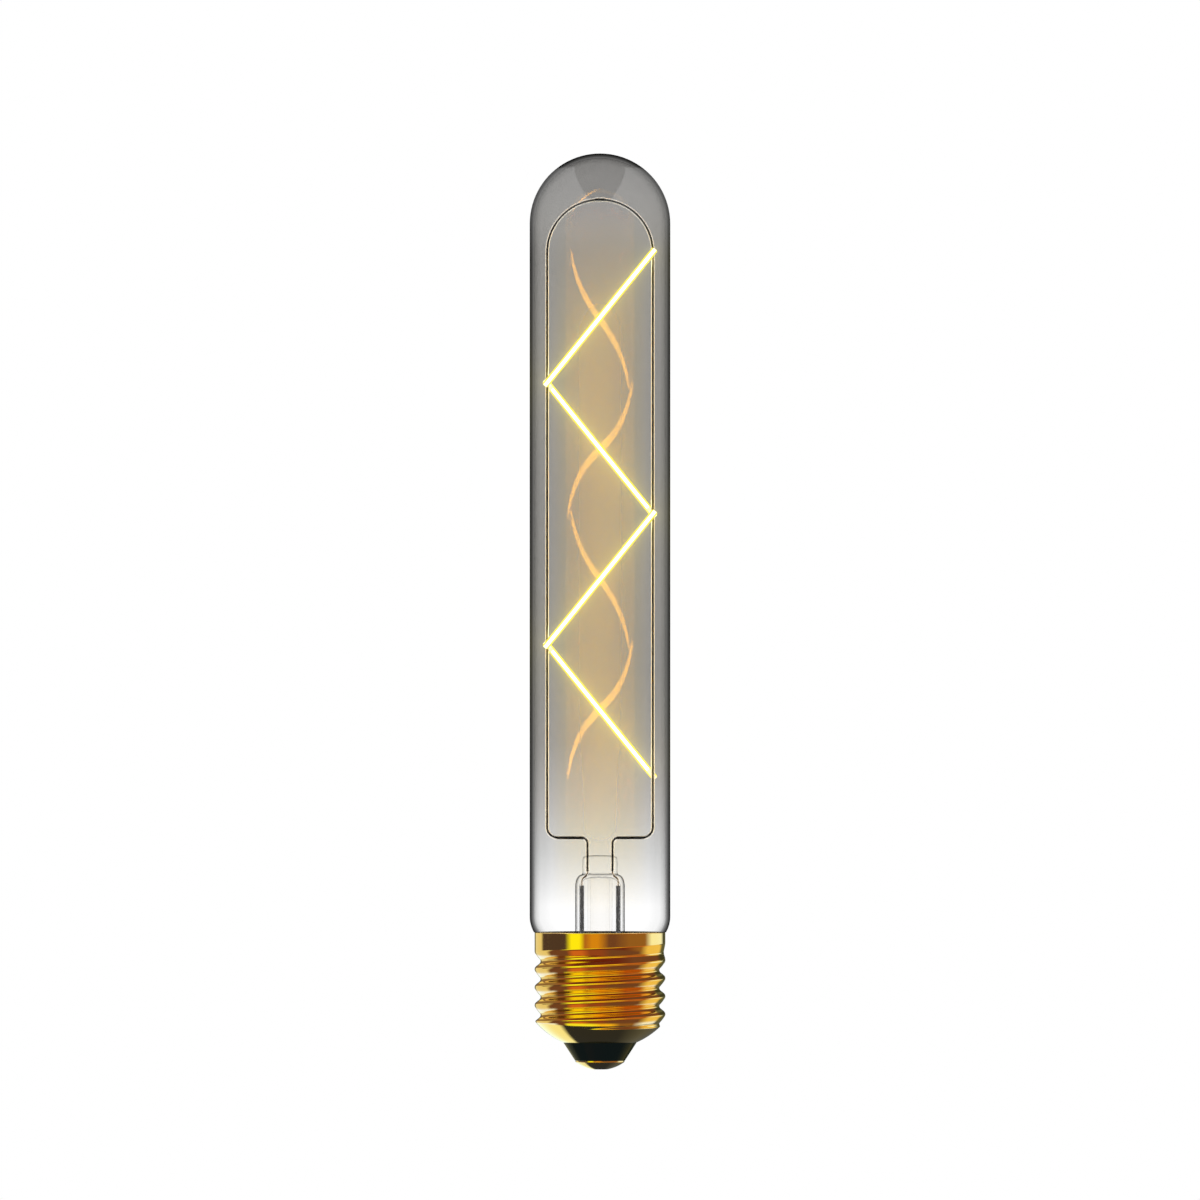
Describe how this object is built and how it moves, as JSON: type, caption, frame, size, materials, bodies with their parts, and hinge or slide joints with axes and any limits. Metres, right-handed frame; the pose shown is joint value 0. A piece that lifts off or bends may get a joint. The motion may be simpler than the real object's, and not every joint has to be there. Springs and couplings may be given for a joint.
{
  "type": "tubular screw-cap light bulb",
  "caption": "Slim tubular light bulb: smoked glass tube with a round end, zigzag light sticks on a wire frame over a pressed glass stem, and a brass screw cap.",
  "frame": {"origin": "tip of the centre contact, on the bulb's axis", "axes": "+Z along the axis from the contact towards the round end of the glass; the two frame wires lie in the XZ plane"},
  "size_m": [0.0284, 0.0284, 0.185],
  "materials": {
    "smoked_glass": "polished, smoke coating fading to clear at the neck",
    "clear_glass": "polished",
    "frame_wire": "bright drawn wire",
    "lead_wire": "drawn wire",
    "lead_sleeve": "matt",
    "phosphor": "soft sheen, lit",
    "tab_metal": "bright strip",
    "cap_brass": "polished",
    "contact_brass": "polished",
    "black_glass": "fused black glass, glossy",
    "cement": "matt",
    "circuit_board": "satin",
    "package_resin": "matt",
    "capacitor_can": "satin",
    "resistor_lacquer": "satin"
  },
  "bodies": {
    "root": {"glass_envelope": "smoked_glass", "stem_glass": "clear_glass", "exhaust_tube": "clear_glass", "apex_insulator": "clear_glass", "frame_wire_left": "frame_wire", "frame_wire_right": "frame_wire", "seal_wire_left": "lead_wire", "seal_wire_right": "lead_wire", "outer_lead_left": "lead_wire", "outer_lead_right": "lead_wire", "neutral_lead": "lead_wire", "lead_sleeve_left": "lead_sleeve", "lead_sleeve_right": "lead_sleeve", "filament_1": "phosphor", "filament_2": "phosphor", "filament_3": "phosphor", "filament_4": "phosphor", "filament_1_upper_tab": "tab_metal", "filament_1_lower_tab": "tab_metal", "filament_2_upper_tab": "tab_metal", "filament_2_lower_tab": "tab_metal", "filament_3_upper_tab": "tab_metal", "filament_3_lower_tab": "tab_metal", "filament_4_upper_tab": "tab_metal", "filament_4_lower_tab": "tab_metal", "screw_shell": "cap_brass", "centre_contact": "contact_brass", "cap_insulator": "black_glass", "capping_cement": "cement", "driver_board": "circuit_board", "bridge_rectifier": "package_resin", "driver_chip": "package_resin", "smoothing_capacitor": "capacitor_can", "fuse_resistor": "resistor_lacquer", "sense_resistor": "resistor_lacquer"}
  },
  "joints": []
}
